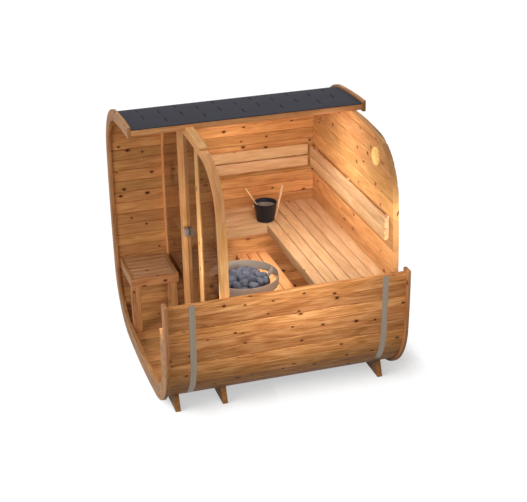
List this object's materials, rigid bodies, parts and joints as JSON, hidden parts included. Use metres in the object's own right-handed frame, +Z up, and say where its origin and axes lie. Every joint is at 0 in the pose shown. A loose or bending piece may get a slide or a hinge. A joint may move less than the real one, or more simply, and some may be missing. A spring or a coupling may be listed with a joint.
{
  "type": "garden sauna",
  "caption": "Rounded-square garden sauna cabin of wooden staves, near side cut away, with open porch, glass front wall and door, benches, stone stove and roof shingles.",
  "frame": {"origin": "middle of the object's box, on the ground under the feet", "axes": "+X across, towards the cut-away near side; +Y along the shell, from the porch to the back wall; +Z up"},
  "size_m": [2.156, 2.064, 2.2239],
  "materials": {
    "thermo_pine_staves": "oiled satin",
    "thermo_pine_trim": "oiled satin",
    "front_frame_pine": "oiled satin",
    "bench_aspen": "sanded matt",
    "bitumen_shingle": "granular matt",
    "steel_band": "brushed",
    "bronze_glass": "tinted polished",
    "hinge_brass": "satin",
    "handle_steel": "brushed",
    "stove_steel": "heat-proof matt",
    "stove_stone": "rough",
    "guard_steel": "brushed",
    "bucket_black": "matt",
    "grip_birch": "sanded matt"
  },
  "bodies": {
    "cabin": {"floor_staves": "thermo_pine_staves", "far_lower_corner": "thermo_pine_staves", "far_wall": "thermo_pine_staves", "far_upper_corner": "thermo_pine_staves", "roof_staves": "thermo_pine_staves", "near_lower_corner": "thermo_pine_staves", "near_wall": "thermo_pine_staves", "back_wall": "thermo_pine_staves", "front_ring": "thermo_pine_trim", "rear_ring": "thermo_pine_trim", "front_sill": "thermo_pine_trim", "front_foot": "thermo_pine_trim", "middle_foot": "thermo_pine_trim", "rear_foot": "thermo_pine_trim", "porch_seat": "thermo_pine_trim", "porch_seat_frame": "thermo_pine_trim", "front_arch": "front_frame_pine", "far_post": "front_frame_pine", "near_post": "front_frame_pine", "far_backrest": "bench_aspen", "back_backrest": "bench_aspen", "far_bench_slats": "bench_aspen", "back_bench_slats": "bench_aspen", "far_bench_frame": "bench_aspen", "back_bench_frame": "bench_aspen", "step_slats": "bench_aspen", "step_frame": "bench_aspen", "roof_shingles": "bitumen_shingle", "front_band": "steel_band", "rear_band": "steel_band", "far_pane": "bronze_glass", "near_pane": "bronze_glass", "post_hinges": "hinge_brass", "stove_body": "stove_steel", "stove_stones": "stove_stone", "stove_guard": "guard_steel", "bucket": "bucket_black", "bucket_handle": "grip_birch", "ladle": "grip_birch", "vent_cover": "grip_birch"},
    "door": {"door_glass": "bronze_glass", "door_handle": "handle_steel", "door_clamps": "hinge_brass"}
  },
  "joints": [
    {"name": "door_hinge", "type": "hinge", "parent": "cabin", "child": "door", "pos_m": [0.2885, -0.5315, 1.1], "axis": [0, 0, 1], "range_deg": [0, 100]}
  ]
}
